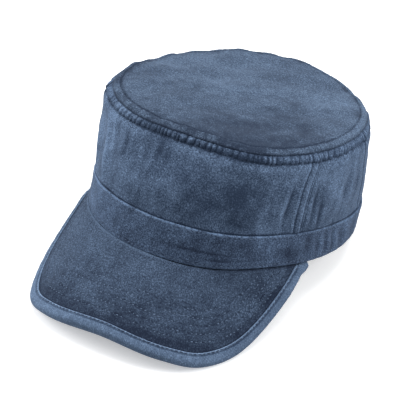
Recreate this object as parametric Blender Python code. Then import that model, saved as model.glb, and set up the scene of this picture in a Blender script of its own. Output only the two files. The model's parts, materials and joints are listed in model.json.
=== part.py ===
"""Kepi cap of washed cotton cloth, at rest on the back of its band and the corners of its peak.

Metres, +Z up. The cap is modelled upright, with its band's bottom edge in the plane z = 0, its front
towards -Y and the wearer's left towards +X. An empty then pitches it back until it rests on the floor.
A turn is an angle round the cap in degrees, 0 at the front and positive towards the wearer's left.
"""
import math
from collections import namedtuple

import bmesh
import bpy
from mathutils import Vector

# The crown's cloth, outside
HEAD_LENGTH = 0.200
HEAD_WIDTH = 0.174
TOP_LENGTH = 0.1688
TOP_WIDTH = 0.1708
TOP_SHIFT = 0.0062
CAP_HEIGHT = 0.0784
TOP_BACK_RISE = 0.0010
TOP_SADDLE = 0.0007
TOP_DOME = 0.0024
CLOTH = 0.0022

# The band
BAND_HEIGHT = 0.0270
BAND_BACK_HEIGHT = 0.0160
BAND_PROUD = 0.0010

# The peak and its binding
PEAK_LENGTH = 0.0495
PEAK_HALF_WIDTH = 0.0862
PEAK_ATTACH_TURN = 68.7
PEAK_CORNERS = 2.92
PEAK_DROP = 0.0480
PEAK_CLOTH = 0.0028
PEAK_TUCK = 0.0020
BINDING_WIDTH = 0.0090
BINDING_CLOTH = 0.0012

# Wrinkles
FOLD_DEPTH = 0.0016
DENT_DEPTH = 0.0022
PUCKER_DEPTH = 0.0005
PUCKERS = 80

# Clearance between neighbouring pieces, and across a seam between two panels of the wall
PIECE_GAP = 0.0003
SEAM_CLEARANCE = 0.00036

# Felled seams between the wall's panels: the turn at half the wall's height, and how many degrees further
# back its bottom lies than its top
SIDE_SEAM_TURN = 62.3
SIDE_SEAM_LEAN = 3.2
BACK_SEAM_TURN = 107.0
BACK_SEAM_LEAN = 9.0

# Mesh fineness
BAND_COLUMNS = 96
TOP_COLUMNS = 80
PEAK_COLUMNS = 56
OUTLINE_SAMPLES = 600

# The wall's outline at five heights. height is a share of the cap's height at that turn; along goes from the
# head's size (0) to the top's (1); long and wide are shares of that size; shift is a share of TOP_SHIFT;
# full widens the front and narrows the back; square is below 0 where the oval's corners are full.
Section = namedtuple("Section", "height along long wide shift full square")
SECTIONS = (
    Section(0.000, 0.00, 1.000, 1.000, 0.00, 0.000, 0.000),
    Section(0.250, 0.10, 1.002, 1.004, 0.00, -0.041, -0.012),
    Section(0.600, 0.45, 1.017, 1.035, 0.05, 0.004, 0.000),
    Section(0.935, 0.95, 0.981, 1.041, 0.58, 0.049, -0.021),
    Section(1.000, 1.00, 1.000, 1.000, 1.00, 0.072, -0.016),
)

Seam = namedtuple("Seam", "turn lean")

# Soft folds of the wall. lean is how many degrees the fold turns from its middle to its top; low and high are
# shares of the wall's height; half_width is in degrees; depth is a share of FOLD_DEPTH, below 0 for a hollow.
Fold = namedtuple("Fold", "turn lean low high half_width depth")
FOLDS = (
    Fold(57.0, 0.0, 0.28, 0.88, 2.6, -0.85),
    Fold(51.5, 1.5, 0.26, 0.78, 3.2, 0.45),
    Fold(69.5, 1.0, 0.28, 0.82, 3.2, -0.50),
    Fold(90.0, -1.0, 0.26, 0.90, 7.0, -0.50),
    Fold(22.0, 5.0, 0.30, 0.90, 11.0, -0.60),
    Fold(-10.0, -5.0, 0.28, 0.88, 8.0, -0.45),
    Fold(-30.0, -3.0, 0.28, 0.92, 6.0, -0.40),
    Fold(-38.0, -2.0, 0.26, 0.92, 3.4, 0.50),
    Fold(-46.0, -2.0, 0.26, 0.94, 4.0, -0.75),
    Fold(-78.0, 2.0, 0.26, 0.90, 7.0, -0.50),
    Fold(142.0, -4.0, 0.28, 0.88, 8.0, -0.75),
    Fold(180.0, 5.0, 0.26, 0.82, 10.0, -0.60),
    Fold(-148.0, 4.0, 0.28, 0.90, 8.0, -0.70),
)

# Dents and bumps of the top. side and back are shares of half the top's width and length; radius is a share of
# half the width; depth is a share of DENT_DEPTH, below 0 for a bump.
Dent = namedtuple("Dent", "side back radius depth")
DENTS = (
    Dent(-0.30, 0.60, 0.30, 0.70),
    Dent(0.05, 0.86, 0.22, -0.45),
    Dent(-0.75, 0.20, 0.22, -0.50),
    Dent(0.35, -0.30, 0.36, 0.65),
    Dent(-0.35, -0.25, 0.34, -0.35),
)

# How far the peak's edge drops, from an end of the edge (0) to its middle (1) and the same beyond it. drop is a
# share of PEAK_DROP.
Drop = namedtuple("Drop", "height drop")
DROPS = (
    Drop(0.00, 0.085),
    Drop(0.37, 0.848),
    Drop(0.56, 1.000),
    Drop(0.73, 0.931),
    Drop(1.00, 0.843),
    Drop(1.27, 0.931),
)

# Rows of the wall's panels from the band (0) to the top seam (1), the band's outer rows from its bottom to its
# fold with how proud each stands, and the top's and the peak's rows.
WALL_ROWS = (0.0, 0.16, 0.36, 0.58, 0.80, 0.895, 0.95, 1.0)
GATHER_FROM = 0.85
BAND_ROWS = ((0.0, 1.0), (0.45, 1.0), (0.93, 1.0), (1.0, 0.35))
BAND_INNER_ROWS = (0.0, 0.5, 1.0)
TOP_ROWS = ((1.0, 0.6), (0.98, 1.0), (0.93, 1.0), (0.76, 1.0), (0.52, 1.0), (0.26, 1.0))
TOP_UNDER_ROWS = (1.0, 0.93, 0.60, 0.30)
PEAK_ROWS = (0.0, 0.3, 0.65, 1.0)


def blend(rows, column, height):
    """Read one column of a table at a height between its rows, along a smooth curve."""
    last = len(rows) - 1
    low = max(i for i in range(last) if height >= rows[i].height or i == 0)
    high = low + 1

    def value(i):
        return getattr(rows[i], column)

    def slope(i):
        before, after = max(i - 1, 0), min(i + 1, last)
        return (value(after) - value(before)) / (rows[after].height - rows[before].height)

    span = rows[high].height - rows[low].height
    t = (height - rows[low].height) / span
    return ((1 + 2 * t) * (1 - t) ** 2 * value(low) + t * (1 - t) ** 2 * span * slope(low)
            + t * t * (3 - 2 * t) * value(high) - t * t * (1 - t) * span * slope(high))


def bump(distance):
    """A round hill, 1 in the middle and near 0 two radii away."""
    return math.exp(-distance * distance)


def angle_between(turn, other):
    """The signed difference of two turns, in degrees."""
    return (turn - other + 180.0) % 360.0 - 180.0


def seam_height(turn):
    """The height of the top seam."""
    angle = math.radians(turn)
    return CAP_HEIGHT - TOP_BACK_RISE / 2 * math.cos(angle) + TOP_SADDLE * math.cos(2 * angle)


def fold_height(turn):
    """The height of the band's folded top edge."""
    share = math.cos(math.radians(turn) / 2) ** 2
    return BAND_BACK_HEIGHT + (BAND_HEIGHT - BAND_BACK_HEIGHT) * share ** 1.8


def fold_depth(turn, height):
    """How far the folds push the wall out at one place."""
    depth = 0.0
    for fold in FOLDS:
        middle = (fold.low + fold.high) / 2
        reach = (fold.high - fold.low) / 2
        up = (height - middle) / reach
        depth += (fold.depth * FOLD_DEPTH * bump(up * 1.3)
                  * bump(angle_between(turn, fold.turn + fold.lean * up) / fold.half_width))
    return depth


def smooth_wall(turn, height):
    """The wall's outer face before any fold."""
    angle = math.radians(turn)
    along = blend(SECTIONS, "along", height)
    half_long = blend(SECTIONS, "long", height) * (HEAD_LENGTH + along * (TOP_LENGTH - HEAD_LENGTH)) / 2
    half_wide = blend(SECTIONS, "wide", height) * (HEAD_WIDTH + along * (TOP_WIDTH - HEAD_WIDTH)) / 2
    plump = 1 + blend(SECTIONS, "square", height) * math.cos(4 * angle)
    x = half_wide * math.sin(angle) * plump * (1 + blend(SECTIONS, "full", height) * math.cos(angle))
    y = blend(SECTIONS, "shift", height) * TOP_SHIFT - half_long * math.cos(angle) * plump
    return Vector((x, y, height * seam_height(turn)))


def outward(turn, height):
    """The level direction out of the wall."""
    step = 0.5
    run = smooth_wall(turn + step, height) - smooth_wall(turn - step, height)
    return Vector((-run.y, run.x, 0.0)).normalized() * -1


def wall_point(turn, height, out):
    """A point of the folded wall, moved level outwards by a distance."""
    return smooth_wall(turn, height) + outward(turn, height) * (out + fold_depth(turn, height))


def new_object(name, mesh_maker, material):
    """Make one closed, smooth-shaded object from a function that fills a bmesh."""
    shape = bmesh.new()
    mesh_maker(shape)
    bmesh.ops.recalc_face_normals(shape, faces=shape.faces)
    mesh = bpy.data.meshes.new(name)
    shape.to_mesh(mesh)
    shape.free()
    mesh.shade_smooth()
    mesh.set_sharp_from_angle(angle=math.radians(40))
    mesh.materials.append(material)
    obj = bpy.data.objects.new(name, mesh)
    bpy.context.collection.objects.link(obj)
    return obj


def cap_thin(shape, line):
    """Close the end of a thin wall, whose loop runs along one face and back along the other."""
    for i in range(len(line) // 2 - 1):
        shape.faces.new((line[i], line[i + 1], line[-2 - i], line[-1 - i]))


def cap_whole(shape, line):
    """Close a flat end with one face."""
    shape.faces.new(line)


def skin_loops(shape, loops, cap):
    """Join loops of points, each joined round, into a tube, which is capped or closes on itself."""
    lines = [[shape.verts.new(point) for point in loop] for loop in loops]
    count = len(lines[0])
    pairs = list(zip(lines, lines[1:]))
    if cap is None:
        pairs.append((lines[-1], lines[0]))
    else:
        cap(shape, lines[0])
        cap(shape, lines[-1])
    for one, two in pairs:
        for i in range(count):
            j = (i + 1) % count
            shape.faces.new((one[i], one[j], two[j], two[i]))


def cloth_material(name, colour, roughness):
    """A plain cloth colour."""
    material = bpy.data.materials.new(name)
    material.use_nodes = True
    shader = material.node_tree.nodes["Principled BSDF"]
    shader.inputs["Base Color"].default_value = (*colour, 1.0)
    shader.inputs["Roughness"].default_value = roughness
    shader.inputs["Metallic"].default_value = 0.0
    return material


def panel_loop(turn, lean, ripple):
    """One column of a wall panel: up its outer face and down its inner face."""
    outer, inner = [], []
    for row in WALL_ROWS:
        place = turn + lean * (0.5 - row)
        start = (fold_height(place) + PIECE_GAP) / seam_height(place)
        height = start + row * (1.0 - start)
        gathered = ripple if GATHER_FROM < row < 1.0 else 0.0
        outer.append(wall_point(place, height, gathered))
        inner.append(wall_point(place, height, -CLOTH))
    return outer + inner[::-1]


def wall_panel(first, last):
    """A cloth panel of the wall between two seams, clear of its neighbours by the gap between pieces."""
    half_gap = math.degrees(SEAM_CLEARANCE / HEAD_WIDTH)

    def fill(shape):
        start, end = first.turn + half_gap, last.turn - half_gap
        columns = 2 * round((end - start) / 360.0 * PUCKERS)
        loops = []
        for i in range(columns + 1):
            share = i / columns
            ripple = PUCKER_DEPTH * (-1) ** i if 0 < i < columns else 0.0
            loops.append(panel_loop(start + share * (end - start),
                                    first.lean + share * (last.lean - first.lean), ripple))
        skin_loops(shape, loops, cap_thin)
    return fill


def band_loop(turn):
    """One column of the band: up its outer face, over its fold and down its inner face."""
    top = fold_height(turn) / seam_height(turn)
    outer = [wall_point(turn, share * top, proud * BAND_PROUD) for share, proud in BAND_ROWS]
    inner = [wall_point(turn, share * top, -CLOTH) for share in reversed(BAND_INNER_ROWS)]
    return outer + inner


def head_band(shape):
    """The band is one ring with a flat bottom."""
    turns = [360.0 * i / BAND_COLUMNS for i in range(BAND_COLUMNS)]
    skin_loops(shape, [band_loop(turn) for turn in turns], None)


def top_surface(turn, share, lift):
    """A point of the top panel: share runs from its centre to the seam, lift is above its underside."""
    edge = smooth_wall(turn, 1.0)
    centre = Vector((0.0, TOP_SHIFT, CAP_HEIGHT))
    point = centre.lerp(edge, share)
    point.z = CAP_HEIGHT + (edge.z - CAP_HEIGHT) * share * share + PIECE_GAP + TOP_DOME * (1 - share ** 4)
    side = point.x / (TOP_WIDTH / 2)
    back = (point.y - TOP_SHIFT) / (TOP_LENGTH / 2)
    for dent in DENTS:
        away = math.hypot(side - dent.side, back - dent.back) / dent.radius
        point.z -= dent.depth * DENT_DEPTH * bump(away) * (1 - share ** 4)
    point.z += lift
    return point


def crown_top(shape):
    """The top panel: a shallow dome with an even thickness and a rounded rim."""
    turns = [360.0 * i / TOP_COLUMNS for i in range(TOP_COLUMNS)]
    rings = [(share, 0.0) for share in reversed(TOP_UNDER_ROWS)]
    rings += [(share, lift * CLOTH) for share, lift in TOP_ROWS]
    lines = [[shape.verts.new(top_surface(turn, share, lift)) for turn in turns] for share, lift in rings]
    for one, two in zip(lines, lines[1:]):
        for i in range(TOP_COLUMNS):
            j = (i + 1) % TOP_COLUMNS
            shape.faces.new((one[i], one[j], two[j], two[i]))
    for line, lift in ((lines[0], 0.0), (lines[-1], CLOTH)):
        hub = shape.verts.new(top_surface(0.0, 0.0, lift))
        for i in range(TOP_COLUMNS):
            shape.faces.new((hub, line[i], line[(i + 1) % TOP_COLUMNS]))


def even_steps(points, count):
    """Points at even distances along a line, ends included, each with its share of the way."""
    lengths = [0.0]
    for one, two in zip(points, points[1:]):
        lengths.append(lengths[-1] + (two - one).length)
    steps, i = [], 0
    for n in range(count + 1):
        wanted = lengths[-1] * n / count
        while i < len(points) - 2 and lengths[i + 1] < wanted:
            i += 1
        part = (wanted - lengths[i]) / (lengths[i + 1] - lengths[i])
        steps.append((points[i].lerp(points[i + 1], part), n / count))
    return steps


def band_edge(turn, out):
    """A point of the band's bottom edge, moved level outwards from its outer face."""
    return wall_point(turn, 0.0, BAND_PROUD + out)


def peak_outline():
    """The peak's bound edge, from the wearer's right to the left."""
    start = band_edge(PEAK_ATTACH_TURN, 0.0).y
    reach = HEAD_LENGTH / 2 + BAND_PROUD + PEAK_LENGTH + start
    power = 2.0 / PEAK_CORNERS
    flat = []
    for n in range(OUTLINE_SAMPLES + 1):
        angle = math.pi * n / OUTLINE_SAMPLES - math.pi / 2
        side = math.copysign(abs(math.sin(angle)) ** power, angle)
        ahead = max(math.cos(angle), 0.0) ** power
        flat.append(Vector((PEAK_HALF_WIDTH * side, start - reach * ahead, 0.0)))
    outline = []
    for point, share in even_steps(flat, PEAK_COLUMNS):
        point.z = -PEAK_DROP * blend(DROPS, "drop", 1 - abs(2 * share - 1))
        outline.append(point)
    return outline


Rib = namedtuple("Rib", "edge root tuck up")


def peak_ribs():
    """The peak's straight lines from its bound edge to the band, with the direction out of its upper face."""
    outline = peak_outline()
    roots = []
    for point in outline:
        turn = math.degrees(math.atan2(point.x / HEAD_WIDTH, -point.y / HEAD_LENGTH))
        root, tuck = band_edge(turn, PIECE_GAP), band_edge(turn, -PEAK_TUCK)
        root.z = tuck.z = -PIECE_GAP
        roots.append((root, tuck))
    ribs = []
    last = len(outline) - 1
    for i, point in enumerate(outline):
        near = min(max(i, 1), last - 1)
        run = outline[near + 1] + roots[near + 1][0] - outline[near - 1] - roots[near - 1][0]
        up = run.cross(roots[i][0] - point).normalized()
        ribs.append(Rib(point, roots[i][0], roots[i][1], up))
    return ribs


def binding_width(rib):
    """How far the binding reaches in from the peak's edge: its full width, or less where the band is near."""
    return min(BINDING_WIDTH, (rib.root - rib.edge).length - 2 * PIECE_GAP)


def peak_loop(rib):
    """One column of the peak: over its upper face from the band to the edge, then back under it."""
    inward = (rib.root - rib.edge).normalized()
    edge = rib.edge + inward * (BINDING_CLOTH + PIECE_GAP)
    covered = rib.edge + inward * binding_width(rib)
    upper = [rib.tuck] + [rib.root.lerp(covered, share) for share in PEAK_ROWS] + [edge]
    lower = [point - rib.up * PEAK_CLOTH for point in reversed(upper)]
    return upper + lower


def peak(shape):
    """The peak is a bent plate that tucks under the band's bottom edge."""
    skin_loops(shape, [peak_loop(rib) for rib in peak_ribs()], cap_thin)


def binding_loop(rib):
    """One section of the binding: a tape folded round the peak's edge, clear of the band."""
    inward = (rib.root - rib.edge).normalized()
    width = binding_width(rib)
    top = PIECE_GAP + BINDING_CLOTH
    low = -PEAK_CLOTH - top
    middle = -PEAK_CLOTH / 2
    soft = BINDING_CLOTH * 0.35
    section = (
        (width, PIECE_GAP), (width, top - soft), (width - soft, top), (top, top), (soft, top - 2 * soft),
        (0.0, middle), (soft, low + 2 * soft), (top, low), (width - soft, low), (width, low + soft),
        (width, -PEAK_CLOTH - PIECE_GAP), (BINDING_CLOTH, -PEAK_CLOTH - PIECE_GAP), (BINDING_CLOTH, PIECE_GAP),
    )
    return [rib.edge + inward * along + rib.up * up for along, up in section]


def peak_binding(shape):
    """The binding runs along the whole edge of the peak."""
    skin_loops(shape, [binding_loop(rib) for rib in peak_ribs()], cap_whole)


def rest_pitch():
    """How far the cap leans back when the binding's lowest corners and the band's back edge touch the floor."""
    heel = band_edge(180.0, 0.0).y
    points = [point for rib in peak_ribs() for point in binding_loop(rib)]
    return max(math.atan2(-point.z, heel - point.y) for point in points)


def main():
    for obj in list(bpy.data.objects):
        bpy.data.objects.remove(obj, do_unlink=True)
    cloth = cloth_material("washed_cotton", (0.085, 0.130, 0.205), 0.92)
    band_cloth = cloth_material("band_cotton", (0.072, 0.112, 0.180), 0.92)
    tape = cloth_material("binding_cotton", (0.105, 0.160, 0.245), 0.90)
    front_left = Seam(SIDE_SEAM_TURN, SIDE_SEAM_LEAN)
    front_right = Seam(-SIDE_SEAM_TURN, -SIDE_SEAM_LEAN)
    back_left = Seam(BACK_SEAM_TURN, BACK_SEAM_LEAN)
    back_right = Seam(-BACK_SEAM_TURN, -BACK_SEAM_LEAN)
    around = Seam(360.0 - BACK_SEAM_TURN, -BACK_SEAM_LEAN)
    pieces = [
        new_object("crown_top", crown_top, cloth),
        new_object("crown_front", wall_panel(front_right, front_left), cloth),
        new_object("crown_side_left", wall_panel(front_left, back_left), cloth),
        new_object("crown_side_right", wall_panel(back_right, front_right), cloth),
        new_object("crown_back", wall_panel(back_left, around), cloth),
        new_object("headband", head_band, band_cloth),
        new_object("peak", peak, cloth),
        new_object("peak_binding", peak_binding, tape),
    ]
    rest = bpy.data.objects.new("cap_at_rest", None)
    bpy.context.collection.objects.link(rest)
    rest.rotation_euler.x = -rest_pitch()
    for piece in pieces:
        piece.parent = rest
    turned = rest.rotation_euler.to_matrix()
    corners = [turned @ vertex.co for piece in pieces for vertex in piece.data.vertices]
    back, front = max(point.y for point in corners), min(point.y for point in corners)
    rest.location = (0.0, -(back + front) / 2, -min(point.z for point in corners))


main()
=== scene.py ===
"""Looks of the kepi cap: washed cotton twill, gathered and felled seams, rows of stitching, a bound peak."""
import json
import math
from collections import namedtuple

import bpy
import numpy as np
from mathutils import Matrix, Vector


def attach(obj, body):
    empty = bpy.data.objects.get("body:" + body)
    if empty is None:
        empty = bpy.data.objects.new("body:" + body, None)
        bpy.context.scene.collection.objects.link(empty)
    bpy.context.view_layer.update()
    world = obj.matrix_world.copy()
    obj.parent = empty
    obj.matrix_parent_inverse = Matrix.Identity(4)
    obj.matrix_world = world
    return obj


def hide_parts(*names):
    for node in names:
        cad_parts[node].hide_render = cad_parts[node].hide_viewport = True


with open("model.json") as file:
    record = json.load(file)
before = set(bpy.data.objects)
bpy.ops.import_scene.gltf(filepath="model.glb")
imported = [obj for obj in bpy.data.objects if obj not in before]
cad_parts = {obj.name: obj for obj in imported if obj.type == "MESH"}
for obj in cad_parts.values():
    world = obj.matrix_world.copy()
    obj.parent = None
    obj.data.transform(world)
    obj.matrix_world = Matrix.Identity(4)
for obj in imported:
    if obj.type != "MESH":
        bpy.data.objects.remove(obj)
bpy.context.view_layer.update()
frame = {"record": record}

# The cap's own sizes, in metres
HEAD_LENGTH = 0.200
HEAD_WIDTH = 0.174
TOP_LENGTH = 0.1688
TOP_WIDTH = 0.1708
TOP_SHIFT = 0.0062
CAP_HEIGHT = 0.0784
TOP_BACK_RISE = 0.0010
TOP_SADDLE = 0.0007
TOP_DOME = 0.0024
BAND_HEIGHT = 0.0270
BAND_BACK_HEIGHT = 0.0160
BAND_PROUD = 0.0010
PEAK_LENGTH = 0.0495
PEAK_HALF_WIDTH = 0.0862
PEAK_ATTACH_TURN = 68.7
PEAK_CORNERS = 2.92
PEAK_DROP = 0.0480
PEAK_CLOTH = 0.0028
PEAK_GAP = 0.0003
PEAK_SHIFT = 0.0016
BINDING_WIDTH = 0.0090
FOLD_DEPTH = 0.0016
CREASE_DEPTH = 0.0007
DENT_DEPTH = 0.0022
RIM_MIDDLE = 0.0994

# The seams and the stitching
CLOTH = 0.0014
STRIP_SHARE = 0.069
PUCKER_COUNT = 142
PUCKER_DEPTH = 0.0017
PUCKER_MIDDLE = 0.6
DARK_END = (36.0, 39.0)
FELL_WIDTH = 0.0072
FELL_HEIGHT = 0.00060
FELL_STEP = 0.0006
FELL_GROOVE = 0.00055
FELL_LINES = (-0.0030, 0.0020)
STITCH_LENGTH = 0.0031
STITCH_THREAD = 0.00036
CROWN_THREAD_SUNK = 0.00008
TOPSTITCH_IN = 0.0052
BAND_ROW_BELOW_FOLD = 0.0018
BAND_ROW_ABOVE_RIM = 0.0026
BAND_GROOVE = 0.00045
BINDING_ROW_IN = 0.0020
PEAK_STITCH_ROWS = (0.0168, 0.0224, 0.0278, 0.0334, 0.0390)
BINDING_TUCK = 0.026
PLATE_SHARE = 0.92

# How much cloth a degree of turn, the peak's edge, the tape and the way round the tape take
METRES_PER_DEGREE = 0.00153
PEAK_RUN = 0.30
TAPE_RUN = 0.33
TAPE_ROUND = 0.024


def table(kind, rows):
    """Rows of one kind, from their numbers."""
    return tuple(kind(*row) for row in rows)


# The wall's sections by height: how far they are along from the head's size to the top's, how much longer and
# wider than that, how far back they shift, how full they are in front and how square
Section = namedtuple("Section", "height along long wide shift full square")
SECTIONS = table(Section, (
    (0.0, 0.0, 1.0, 1.0, 0.0, 0.0, 0.0), (0.25, 0.1, 1.002, 1.004, 0.0, -0.041, -0.012),
    (0.6, 0.45, 1.017, 1.035, 0.05, 0.004, 0.0), (0.935, 0.95, 0.981, 1.041, 0.58, 0.049, -0.021),
    (1.0, 1.0, 1.0, 1.0, 1.0, 0.072, -0.016),
))

# Soft folds: where, how far they lean, from and to which share of the height, how wide and how deep
Fold = namedtuple("Fold", "turn lean low high half_width depth")
FOLDS = table(Fold, (
    (57.0, 0.0, 0.28, 0.88, 2.6, -0.85), (51.5, 1.5, 0.26, 0.78, 3.2, 0.45),
    (69.5, 1.0, 0.28, 0.82, 3.2, -0.5), (90.0, -1.0, 0.26, 0.9, 7.0, -0.5),
    (22.0, 5.0, 0.3, 0.9, 11.0, -0.6), (-10.0, -5.0, 0.28, 0.88, 8.0, -0.45),
    (-30.0, -3.0, 0.28, 0.92, 6.0, -0.4), (-38.0, -2.0, 0.26, 0.92, 3.4, 0.5),
    (-46.0, -2.0, 0.26, 0.94, 4.0, -0.75), (-78.0, 2.0, 0.26, 0.9, 7.0, -0.5),
    (142.0, -4.0, 0.28, 0.88, 8.0, -0.75), (180.0, 5.0, 0.26, 0.82, 10.0, -0.6),
    (-148.0, 4.0, 0.28, 0.9, 8.0, -0.7),
))

# Dents in the top, measured in its half width and half length
Dent = namedtuple("Dent", "side back radius depth")
DENTS = table(Dent, (
    (-0.3, 0.6, 0.3, 0.7), (0.05, 0.86, 0.22, -0.45), (-0.75, 0.2, 0.22, -0.5), (0.35, -0.3, 0.36, 0.65),
    (-0.35, -0.25, 0.34, -0.35),
))

# The drop of the peak's edge from its ends, at 0, to its middle, at 1. The last row sets the slope there.
Drop = namedtuple("Drop", "height drop")
DROPS = table(Drop, (
    (0.0, 0.085), (0.37, 0.848), (0.56, 1.0), (0.73, 0.931), (1.0, 0.843), (1.27, 0.931),
))

# The felled seams and how far they lean from top to bottom, in degrees of turn
Seam = namedtuple("Seam", "turn lean")
FRONT_LEFT = Seam(62.3, 3.2)
FRONT_RIGHT = Seam(-62.3, -3.2)
BACK_LEFT = Seam(107.0, 9.0)
BACK_RIGHT = Seam(-107.0, -9.0)

# Narrow creases in the wall. Their depth, like that of the folds, is below 0 where they go in.
CREASES = table(Fold, (
    (55.8, -0.9, 0.33, 0.84, 0.8, -0.6), (53.9, -0.9, 0.33, 0.76, 0.9, 0.85),
    (51.6, -0.8, 0.34, 0.66, 0.8, -0.3), (67.0, -0.8, 0.36, 0.72, 0.8, 0.6),
    (68.6, -0.8, 0.36, 0.78, 0.9, -0.65), (71.6, -0.6, 0.3, 0.58, 0.8, 0.6),
    (73.4, -0.6, 0.3, 0.6, 0.8, -0.6), (76.2, -0.5, 0.3, 0.54, 0.9, 0.5),
    (79.0, -0.4, 0.4, 0.74, 1.0, 0.45), (84.0, 0.5, 0.36, 0.84, 1.3, 0.55),
    (88.5, 0.4, 0.34, 0.8, 1.0, -0.45), (93.0, 0.0, 0.34, 0.84, 1.3, 0.5),
    (98.0, 0.0, 0.34, 0.8, 1.2, -0.55), (48.5, -0.8, 0.36, 0.62, 1.2, -0.4),
    (36.0, -0.6, 0.4, 0.66, 1.6, 0.25), (1.0, 1.0, 0.6, 0.86, 1.5, 0.35),
    (-6.5, 1.0, 0.7, 0.92, 1.8, -0.55), (-14.0, -1.0, 0.58, 0.86, 1.6, 0.35),
    (-23.5, -1.0, 0.66, 0.94, 1.5, -0.7), (-30.5, -1.2, 0.56, 0.92, 1.4, -0.6),
    (-33.8, -0.6, 0.64, 0.94, 0.9, 0.8), (-37.2, -1.2, 0.38, 0.86, 1.0, 1.0),
    (-40.2, -1.2, 0.42, 0.88, 1.1, -0.55), (-43.5, -1.2, 0.44, 0.92, 1.6, -0.75),
    (-52.0, 0.0, 0.4, 0.86, 1.8, 0.35), (120.0, -2.0, 0.34, 0.74, 1.4, -0.4),
    (136.0, 2.0, 0.4, 0.86, 1.6, 0.4), (158.0, -2.0, 0.3, 0.7, 1.5, -0.45),
    (-168.0, 2.0, 0.44, 0.88, 1.4, 0.4), (-134.0, -2.0, 0.32, 0.78, 1.6, -0.4),
    (-116.0, 1.0, 0.36, 0.8, 1.4, 0.35), (-88.0, -1.0, 0.34, 0.82, 1.6, -0.4),
))

# How far the sewn edges wander above or below their even course, in millimetres
Wander = namedtuple("Wander", "turn lift")
SEAM_WANDER = table(Wander, (
    (-180, 2.6), (-166, 2.4), (-150, 1.6), (-143, 1.9), (-136, -0.3), (-126, -1.1), (-116, 0.0),
    (-108, -0.9), (-101, -1.9), (-94, -0.6), (-86, 1.6), (-70, 0.6), (-52, 0.4), (-36, -1.1), (-22, -1.6),
    (-8, -0.5), (6, 0.0), (14, -0.4), (26, -1.4), (38, -2.0), (48, -0.6), (64, 0.2), (80, 0.8), (98, 0.3),
    (118, -0.4), (141, -1.4), (150, -0.3), (160, 0.5), (168, 1.3), (173, 2.5),
))
FOLD_WANDER = table(Wander, (
    (-140, 0.0), (-60, 0.4), (-35, -0.4), (-21, -0.9), (-5, -1.7), (11, -1.5), (32, -1.1), (45, -1.0),
    (55, -0.5), (68, 1.1), (85, 1.0), (104, 0.3), (140, 0.0),
))
RIM_WANDER = table(Wander, (
    (-180, 0.0), (0, 0.0), (14, -0.5), (25, -1.0), (38, -0.6), (50, 0.9), (60, 0.5), (75, 0.0), (140, 0.0),
))

# Patches where the cloth is lighter or darker: partly the uneven wash, partly painted light and shade,
# lighter towards the sides and darker in front. turn and height place a patch on the wall, reach is its
# radius in degrees of turn and tall its radius as a share of the height. shade is below 0 where it is darker.
Patch = namedtuple("Patch", "turn height reach tall shade")
WALL_PATCHES = table(Patch, (
    (-46.0, 0.62, 17.0, 0.4, 0.85), (10.0, 0.68, 22.0, 0.16, -0.35), (-21.0, 0.62, 9.0, 0.2, 0.25),
    (-22.5, 0.78, 3.6, 0.12, -0.6), (-8.0, 0.76, 4.5, 0.1, -0.55), (-33.0, 0.78, 2.6, 0.16, -0.35),
    (10.0, 0.78, 7.0, 0.07, -0.5), (18.0, 0.62, 12.0, 0.12, -0.5), (35.0, 0.6, 7.0, 0.15, -0.75),
    (39.0, 0.46, 9.0, 0.16, -0.95), (26.0, 0.5, 7.0, 0.12, -0.35), (30.0, 0.42, 5.0, 0.05, 0.35),
    (4.0, 0.56, 7.0, 0.07, 0.35), (12.0, 0.37, 34.0, 0.06, -0.4), (45.0, 0.62, 8.0, 0.14, -0.3),
    (46.0, 0.86, 12.0, 0.07, 0.35), (48.0, 0.46, 4.0, 0.1, 0.45), (58.0, 0.5, 5.0, 0.22, -0.35),
    (66.0, 0.78, 6.0, 0.1, 0.45), (74.0, 0.46, 6.0, 0.14, -0.5), (80.0, 0.78, 12.0, 0.14, 0.75),
    (90.0, 0.52, 7.0, 0.16, 0.3), (100.0, 0.6, 8.0, 0.3, 0.6), (-52.0, 0.16, 14.0, 0.1, 0.5),
    (-22.0, 0.18, 10.0, 0.1, 0.25), (14.0, 0.14, 32.0, 0.1, -0.6), (42.0, 0.12, 12.0, 0.08, -0.35),
    (56.0, 0.24, 8.0, 0.07, 0.2), (66.0, 0.14, 13.0, 0.1, -0.8), (84.0, 0.14, 14.0, 0.12, -0.3),
    (140.0, 0.6, 16.0, 0.22, -0.4), (176.0, 0.66, 18.0, 0.2, 0.3), (-140.0, 0.5, 18.0, 0.24, -0.4),
    (-100.0, 0.62, 12.0, 0.26, 0.4),
))

# Round spots of lighter or darker colour on the other pieces, in metres on the upright cap: partly uneven
# wash and partly painted light and shade
Spot = namedtuple("Spot", "side along high reach shade")
# The dark spots at the front of the top are painted shade where it turns down towards the front.
TOP_SPOTS = table(Spot, (
    (0.034, -0.052, 0.08, 0.024, -1.15), (0.002, -0.056, 0.08, 0.02, -0.75),
    (-0.03, -0.056, 0.08, 0.018, -0.55), (0.062, -0.028, 0.08, 0.022, -0.6),
    (0.036, -0.016, 0.08, 0.02, -0.75), (-0.062, -0.016, 0.08, 0.014, -0.5),
    (-0.026, 0.018, 0.08, 0.026, 0.35), (0.04, 0.054, 0.08, 0.03, 0.45), (-0.054, 0.034, 0.08, 0.018, 0.25),
    (0.004, 0.044, 0.08, 0.014, -0.35), (-0.03, -0.018, 0.08, 0.012, -0.3),
    (0.012, -0.024, 0.08, 0.01, 0.3),
))
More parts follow.
